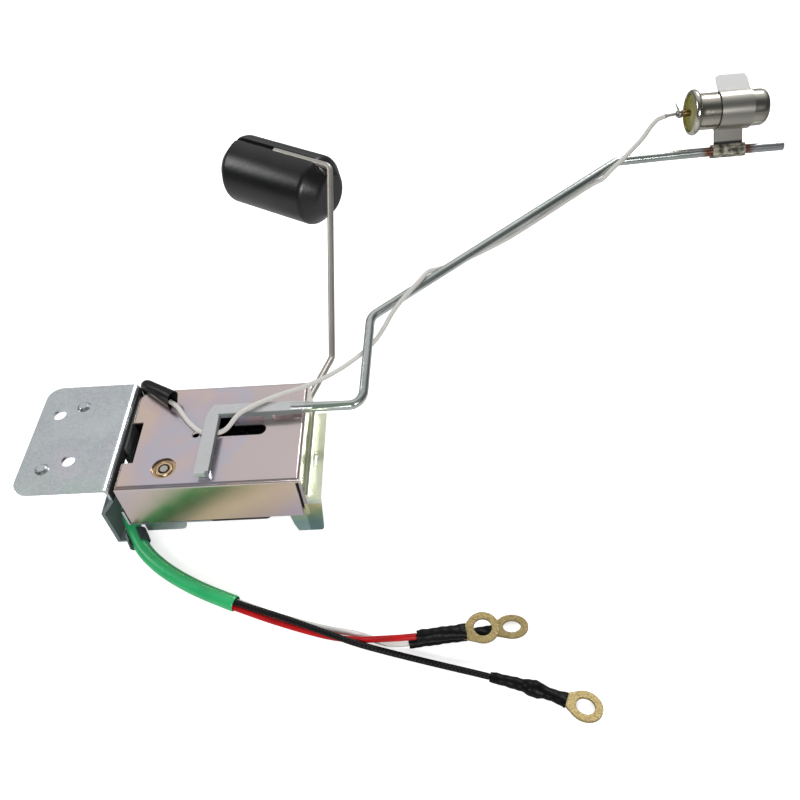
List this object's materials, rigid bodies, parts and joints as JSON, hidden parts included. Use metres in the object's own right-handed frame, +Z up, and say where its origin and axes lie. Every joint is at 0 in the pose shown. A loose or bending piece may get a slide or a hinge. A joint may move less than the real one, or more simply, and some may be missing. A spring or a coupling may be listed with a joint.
{
  "type": "fuel level sender",
  "caption": "Fuel tank level sender: sheet-metal housing on a screw plate, bent wire arm with black float, and a bent rod carrying a low-level sensor can, with sleeved wires.",
  "frame": {"origin": "middle of the two mounting screw holes, on the underside of the mounting plate", "axes": "+X along the housing away from the mounting plate, +Y away from the housing's front wall towards the float, +Z up out of the mounting plate"},
  "size_m": [0.2645, 0.238, 0.0862],
  "materials": {
    "zinc_steel": "zinc plated, satin",
    "passivated_sheet": "yellow passivated zinc, glossy",
    "brass": "bright",
    "nickel_wire": "nickel plated",
    "float_black": "satin moulded foam skin",
    "hub_plastic": "moulded",
    "spring_bronze": "bright",
    "card_brown": "laminate",
    "resistance_wire": "bright",
    "frame_plastic": "moulded",
    "nickel_can": "nickel plated",
    "seal_resin": "translucent olive resin",
    "solder": "cast",
    "lead_sleeve_black": "satin",
    "lead_white": "ribbed sleeving",
    "sleeve_green": "glossy",
    "wire_black": "braided",
    "wire_red": "satin",
    "wire_white": "satin",
    "shrink_black": "satin",
    "tinned_brass": "tarnished"
  },
  "bodies": {
    "housing": {"mounting_bracket": "zinc_steel", "base_tray": "zinc_steel", "thermistor_rod": "zinc_steel", "housing_cover": "passivated_sheet", "pivot_bush": "brass", "lower_bush": "brass", "thermistor_terminal": "brass", "element_terminal": "brass", "resistor_card": "card_brown", "resistance_winding": "resistance_wire", "element_frame": "frame_plastic", "thermistor_can": "nickel_can", "thermistor_clip": "nickel_can", "thermistor_seal": "seal_resin", "solder_joint": "solder", "lead_sleeve": "lead_sleeve_black", "thermistor_lead": "lead_white", "cable_sleeve": "sleeve_green", "wire_black": "wire_black", "wire_red": "wire_red", "wire_white": "wire_white", "shrink_black": "shrink_black", "shrink_red": "shrink_black", "shrink_white": "shrink_black", "ring_black": "tinned_brass", "ring_red": "tinned_brass", "ring_white": "tinned_brass"},
    "arm": {"float_arm": "nickel_wire", "float": "float_black", "wiper_hub": "hub_plastic", "wiper_blade": "spring_bronze", "wiper_contact": "spring_bronze"}
  },
  "joints": [
    {"name": "arm_pivot", "type": "hinge", "parent": "housing", "child": "arm", "pos_m": [0.0365, -0.01505, -0.02115], "axis": [0, 0, 1], "range_deg": [-15, 60]}
  ]
}
